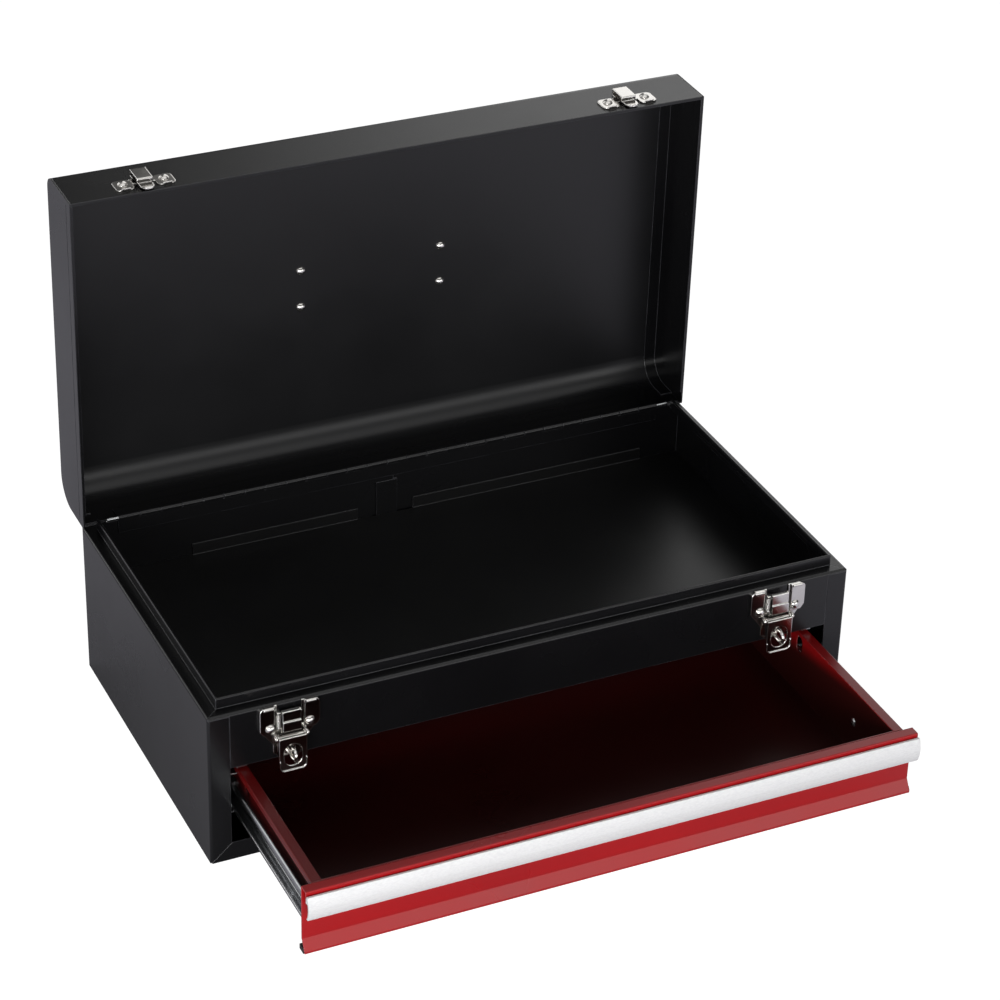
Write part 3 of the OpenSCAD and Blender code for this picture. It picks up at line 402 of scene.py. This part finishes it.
lid_black = black_paint.copy()
lid_black.name = "lid_black"
tree = lid_black.node_tree
shader = tree.nodes["Principled BSDF"]
gloss = shader.inputs["Roughness"].links[0].from_socket
where = add_node(tree, "ShaderNodeTexCoord")
facing = add_node(tree, "ShaderNodeSeparateXYZ", {"Vector": where.outputs["Normal"]})
inside = remap(tree, facing.outputs["Y"], facing_from, facing_to, to_high=extra_roughness)
tree.links.new(calculate(tree, "ADD", gloss, inside), shader.inputs["Roughness"])
print("lid's paint", lid_black.name)

# %% [markdown]
# ## Bare and plated metal
#
# The latches and the handle are nickel-plated and bright, with tiny scratches from handling. The
# slides and the hinge pin are zinc-plated, which is greyer and cloudier, and the balls are bare. A
# helper makes all three, with the cloud, the roughness, the scratches and the painted shade in the
# corners as its values. Scratches are noise pulled long one way. The edge mask gives the rims a
# lighter colour, partly wear and partly a painted highlight, and makes them a little rougher than
# the flats, so that they catch the lamps. Where other metal is close the colour is darker, a
# painted shade that the Ambient Occlusion node measures.

# %% Make a plated metal
nook_shut, nook_open = 0.25, 0.85
rim_roughness = 0.25
scratch_pull = (160, 160, 1900)


def make_plating(
    name, colour, dull, edge_wear_and_highlight, rough, spread, scratch, corner, shade_darkest, rim=0.0010, cloud_size=60.0
):
    """Plated steel: cloudy colour and gloss, fine scratches, rims lighter from wear and a painted
    highlight, and painted shade in the corners.
    """
    material, tree, shader = start_material(name, Metallic=1.0)
    texture = use_group(tree, grain, Scale=900.0, Patch_Scale=cloud_size)
    fold = use_group(tree, edges, Radius=rim, Breakup=0.2)
    patches = texture.outputs["Patches"]
    cloud = mix_colours(tree, patches, dull, colour)
    # Rims get the lighter colour: partly wear and partly a painted highlight.
    rims_worn_and_lit = mix_colours(tree, fold.outputs["Mask"], cloud, edge_wear_and_highlight)
    # Painted shade: the colour is darker where other metal is close.
    nook = add_node(tree, "ShaderNodeAmbientOcclusion", Distance=corner, samples=8)
    corner_shade = remap(tree, nook.outputs["AO"], nook_shut, nook_open, to_low=shade_darkest)
    shaded = add_node(tree, "ShaderNodeVectorMath", {"Scale": corner_shade}, operation="SCALE")
    tree.links.new(rims_worn_and_lit, shaded.inputs[0])
    tree.links.new(shaded.outputs["Vector"], shader.inputs["Base Color"])
    gloss = remap(tree, patches, patch_low, patch_high, rough + spread, rough)
    brushed = calculate(tree, "MULTIPLY", fold.outputs["Mask"], rim_roughness)
    tree.links.new(calculate(tree, "MAXIMUM", gloss, brushed), shader.inputs["Roughness"])
    where = add_node(tree, "ShaderNodeTexCoord")
    pull = add_node(
        tree, "ShaderNodeMapping", {"Vector": where.outputs["Object"]}, Scale=scratch_pull
    )
    lines = add_node(
        tree, "ShaderNodeTexNoise", {"Vector": pull.outputs["Vector"]}, Scale=1.0, Detail=2.0
    )
    add_relief(tree, shader, lines.outputs["Fac"], fold, scratch)
    return material


nickel = make_plating(
    "nickel",
    (0.76, 0.74, 0.71),
    dull=(0.62, 0.60, 0.57),
    edge_wear_and_highlight=(0.97, 0.95, 0.92),
    rough=0.09,
    spread=0.06,
    scratch=0.10,
    corner=0.004,
    shade_darkest=0.35,
)
zinc = make_plating(
    "zinc",
    (0.58, 0.59, 0.60),
    dull=(0.42, 0.43, 0.44),
    edge_wear_and_highlight=(0.99, 0.99, 0.99),
    rough=0.16,
    spread=0.08,
    scratch=0.08,
    corner=0.003,
    shade_darkest=0.30,
    rim=0.0012,
    cloud_size=12.0,
)
ball_steel = make_plating(
    "ball_steel",
    (0.72, 0.72, 0.73),
    dull=(0.62, 0.62, 0.63),
    edge_wear_and_highlight=(0.80, 0.80, 0.81),
    rough=0.12,
    spread=0.05,
    scratch=0.04,
    corner=0.002,
    shade_darkest=0.60,
)
print("metals", nickel.name, zinc.name, ball_steel.name)

# %% [markdown]
# ## The pull bar's grain
#
# The pull is a strip of bright aluminium, rolled with a fine pattern of short raised strokes so
# that it doesn't slip in the hand. At this size the pattern is bump: small cells, stretched and
# set at a slant, with fine noise over them.

# %% Make the aluminium
bright, duller = (0.95, 0.95, 0.95), (0.86, 0.86, 0.87)
stroke_slant = math.radians(38)
stroke_pull = (380, 380, 900)

aluminium, tree, shader = start_material("aluminium", Metallic=0.20)
where = add_node(tree, "ShaderNodeTexCoord")
strokes = add_node(
    tree,
    "ShaderNodeMapping",
    {"Vector": where.outputs["Object"]},
    Rotation=(0, stroke_slant, 0),
    Scale=stroke_pull,
)
pattern = add_node(
    tree, "ShaderNodeTexVoronoi", {"Vector": strokes.outputs["Vector"]}, Scale=1.0, Randomness=0.75
)
speck = add_node(
    tree, "ShaderNodeTexNoise", {"Vector": where.outputs["Object"]}, Scale=1400.0, Detail=2.0
)
raised = calculate(tree, "MULTIPLY", pattern.outputs["Distance"], speck.outputs["Fac"])
shade = remap(tree, pattern.outputs["Distance"])
tree.links.new(mix_colours(tree, shade, bright, duller), shader.inputs["Base Color"])
matt = remap(tree, speck.outputs["Fac"], to_low=0.42, to_high=0.58)
tree.links.new(matt, shader.inputs["Roughness"])
fold = use_group(tree, edges, Radius=0.0005, Breakup=0.0)
add_relief(tree, shader, raised, fold, strength=0.7, depth=0.0004)
print("aluminium nodes", len(tree.nodes))

# %% [markdown]
# ## Black plastic
#
# The handle's tube and the drawer's pads are moulded: dark grey rather than black, and matt, with
# a fine sand-like texture from the mould. Noise as bump and as roughness is all it needs.

# %% Make the plastic
plastic, tree, shader = start_material("plastic", Specular_IOR_Level=0.4)
texture = use_group(tree, grain, Scale=1500.0, Patch_Scale=25.0)
fold = use_group(tree, edges, Radius=0.0006, Breakup=0.3)
patches = texture.outputs["Patches"]
dark = mix_colours(tree, patches, (0.014, 0.014, 0.014), (0.022, 0.022, 0.023))
tree.links.new(dark, shader.inputs["Base Color"])
matt = remap(tree, patches, to_low=0.5, to_high=0.68)
tree.links.new(matt, shader.inputs["Roughness"])
add_relief(tree, shader, texture.outputs["Height"], fold, strength=0.5)
print("plastic nodes", len(tree.nodes))

# %% [markdown]
# ## Give each piece its finish
#
# The record of the part names a slot for each piece, such as black paint or plated steel. That
# list says which material goes where, so that no piece is forgotten. Three pieces have a finish of
# their own.

# %% Assign the finishes
finish_of_slot = {
    "black_paint": black_paint,
    "red_paint": red_paint,
    "zinc_steel": zinc,
    "ball_steel": ball_steel,
    "black_plastic": plastic,
    "aluminium_pull": aluminium,
    "nickel_steel": nickel,
}
finish_of_node = {"tray_pan": tray_black, "drawer_box": drawer_red, "lid_shell": lid_black}
for entry in frame["record"]["subparts"]:
    piece = nodes[entry["node"]]
    piece.data.materials.clear()
    piece.data.materials.append(
        finish_of_node.get(entry["node"], finish_of_slot[entry["material_slot"]])
    )

# %% [markdown]
# ## The latch springs
#
# Each latch has a small coil spring on a rod. A coil is a round wire swept along a helix: a ring
# of vertices is spun round the rod's axis, and rises a little with every step.

# %% Wind the springs
wire_radius = 0.00034
wire_sides = 8
coil_turns = 9
steps_per_turn = 20


def wind_spring(name, x, y, low, high, coil):
    """A coil of round wire round a vertical axis at x, y."""
    mesh = bmesh.new()
    ring = bmesh.ops.create_circle(mesh, segments=wire_sides, radius=wire_radius)["verts"]
    bmesh.ops.rotate(mesh, verts=ring, cent=(0, 0, 0), matrix=Matrix.Rotation(math.pi / 2, 3, "X"))
    bmesh.ops.translate(mesh, verts=ring, vec=(x + coil, y, low + wire_radius))
    steps = coil_turns * steps_per_turn
    rise = (high - low - 2 * wire_radius) / steps
    bmesh.ops.spin(
        mesh,
        geom=ring + mesh.edges[:],
        cent=(x, y, 0),
        axis=(0, 0, 1),
        dvec=(0, 0, rise),
        angle=coil_turns * 2 * math.pi,
        steps=steps,
    )
    open_ends = [e for e in mesh.edges if e.is_boundary]
    bmesh.ops.holes_fill(mesh, edges=open_ends, sides=wire_sides)
    bmesh.ops.recalc_face_normals(mesh, faces=mesh.faces[:])
    data = bpy.data.meshes.new(name)
    mesh.to_mesh(data)
    mesh.free()
    for face in data.polygons:
        face.use_smooth = True
    spring = bpy.data.objects.new(name, data)
    spring.data.materials.append(nickel)
    bpy.context.scene.collection.objects.link(spring)
    return spring


for side in ("left", "right"):
    low, high = (Vector(v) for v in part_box(f"latch_spring_{side}"))
    middle = (low + high) / 2
    outer = (high.x - low.x) / 2
    spring = wind_spring(f"coil_{side}", middle.x, middle.y, low.z, high.z, outer - wire_radius)
    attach(spring, "case")
    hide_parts(f"latch_spring_{side}")
    print(spring.name, "height", round(high.z - low.z, 4), "faces", len(spring.data.polygons))

# %% [markdown]
# ## Table
#
# The box stands on a white table. The table takes the box's shadow, so it is an ordinary surface,
# and the camera sees it as plain white. Polished metal and gloss paint see it less bright and a
# little cool, and darker close to the box, where less of the room's light falls: the Ambient
# Occlusion node measures how much of the room each spot sees. It is dimmer behind the box on the
# left.

# %% Lay the table
table_half = 12
table_colour = (0.25, 0.25, 0.25)
shelter_reach, shelter_full = 0.35, 0.55
to_back_left = (-0.7, 0.7, 0)
dim_from, dim_to = -0.2, 0.35
white, cool_white = (1, 1, 1), (0.90, 0.88, 1.0)

mesh = bmesh.new()
bmesh.ops.create_grid(mesh, x_segments=1, y_segments=1, size=table_half)
data = bpy.data.meshes.new("table")
mesh.to_mesh(data)
mesh.free()
table_top = bpy.data.objects.new("table", data)
bpy.context.scene.collection.objects.link(table_top)

table_white, tree, shader = start_material("table_white", Roughness=0.9, Specular_IOR_Level=0.0)
shader.inputs["Base Color"].default_value = (*table_colour, 1)
open_sky = add_node(tree, "ShaderNodeAmbientOcclusion", Distance=shelter_reach, samples=4)
lit = remap(tree, open_sky.outputs["AO"], low=shelter_full, to_low=0.10, to_high=0.76)
where = add_node(tree, "ShaderNodeTexCoord")
slant = measure_along(tree, where.outputs["Object"], to_back_left)
fall = remap(tree, slant, dim_from, dim_to, to_low=0.88, to_high=0.42)
mirrored = calculate(tree, "MULTIPLY", lit, fall)
ray = add_node(tree, "ShaderNodeLightPath")
shiny = calculate(tree, "MULTIPLY", ray.outputs["Is Glossy Ray"], mirrored)
lift = calculate(tree, "MAXIMUM", ray.outputs["Is Camera Ray"], shiny)
tree.links.new(lift, shader.inputs["Emission Strength"])
glow = mix_colours(tree, ray.outputs["Is Glossy Ray"], white, cool_white)
tree.links.new(glow, shader.inputs["Emission Color"])
table_top.data.materials.append(table_white)
print("table", [round(v, 1) for v in table_top.dimensions])

# %% [markdown]
# ## Room
#
# The room is white to the camera. To gloss and metal it is dark, apart from a bright wall behind
# the box on the right, which comes on softly, a bright window behind it on the left and a bright
# ceiling in front. The wall gives the flat tops their sweep from black to grey. The window and the
# ceiling show only in rounded edges and in the small shapes of the latches, as white rims. Each
# bright part is found by how far a direction points along an axis: it starts at one value and is
# full at another. A faint light from all sides lifts the darkest corners.

# %% Paint the room
wall_edge = math.radians(24)
wall_right, behind_box = (-0.11, 0.07), (0.15, 0.55)
ceiling_up, before_box = (0.56, 0.74), (0.25, -0.10)
window_up, window_left = (0.05, 0.18), (-0.15, -0.40)
wall_strength = 1.3
faint_light = 0.08

world = bpy.data.worlds.new("room")
bpy.context.scene.world = world
world.use_nodes = True
tree = world.node_tree
room = tree.nodes["Background"]
room.inputs["Color"].default_value = (*white, 1)
ray = add_node(tree, "ShaderNodeLightPath")
seen = calculate(tree, "MAXIMUM", ray.outputs["Is Camera Ray"], ray.outputs["Is Transmission Ray"])
ahead = add_node(tree, "ShaderNodeTexCoord")
sky = ahead.outputs["Generated"]
facing = add_node(tree, "ShaderNodeSeparateXYZ", {"Vector": sky})
x, y, z = (facing.outputs[axis] for axis in "XYZ")
across = measure_along(tree, sky, (math.cos(wall_edge), -math.sin(wall_edge), 0))
behind = remap(tree, y, *behind_box, curve="SMOOTHSTEP")
wall = remap(tree, across, *wall_right, to_high=wall_strength, curve="SMOOTHSTEP")
wall = calculate(tree, "MULTIPLY", wall, behind)
ceiling = remap(tree, z, *ceiling_up, curve="SMOOTHSTEP")
ceiling = calculate(tree, "MULTIPLY", ceiling, remap(tree, y, *before_box, curve="SMOOTHSTEP"))
window = remap(tree, z, *window_up, curve="SMOOTHSTEP")
window = calculate(tree, "MULTIPLY", window, remap(tree, x, *window_left, curve="SMOOTHSTEP"))
window = calculate(tree, "MULTIPLY", window, behind)
lights = calculate(tree, "MAXIMUM", calculate(tree, "MAXIMUM", wall, window), ceiling)
shiny = calculate(tree, "MULTIPLY", ray.outputs["Is Glossy Ray"], lights)
either = calculate(tree, "MAXIMUM", seen, shiny)
tree.links.new(calculate(tree, "MAXIMUM", either, faint_light), room.inputs["Strength"])
print("room nodes", len(tree.nodes))

# %% [markdown]
# ## Lamps
#
# A wide soft lamp stands low in front on the left, a second one in front on the right for the shine
# along the folds, and three weaker ones at the left side, above and behind. A lamp's size decides
# how soft its light is, so each is a rectangle larger than the box.


# %% Hang the lamps
def hang_lamp(name, place, aim, width, height, power):
    """A soft lamp at a place, turned to look at a point."""
    lamp = bpy.data.lights.new(name, "AREA")
    lamp.shape = "RECTANGLE"
    lamp.size = width
    lamp.size_y = height
    lamp.energy = power
    thing = bpy.data.objects.new(name, lamp)
    thing.location = place
    thing.rotation_mode = "QUATERNION"
    thing.rotation_quaternion = (Vector(aim) - Vector(place)).to_track_quat("-Z", "Y")
    bpy.context.scene.collection.objects.link(thing)


hang_lamp("front_lamp", (-1.3, -1.9, 0.40), (0, -0.1, 0.12), width=1.8, height=0.8, power=40)
hang_lamp("shine_lamp", (0.95, -2.0, 0.62), (0, -0.1, 0.15), width=2.2, height=0.8, power=12)
hang_lamp("left_lamp", (-2.2, -0.2, 0.8), (0, 0, 0.15), width=1.4, height=1.4, power=6)
hang_lamp("top_lamp", (0.3, 0.6, 2.4), (0, 0, 0.1), width=1.6, height=1.6, power=2)
hang_lamp("back_lamp", (-0.9, 2.3, 0.45), (0, 0.1, 0.15), width=1.4, height=0.7, power=5)
bpy.context.scene.view_settings.view_transform = "Standard"
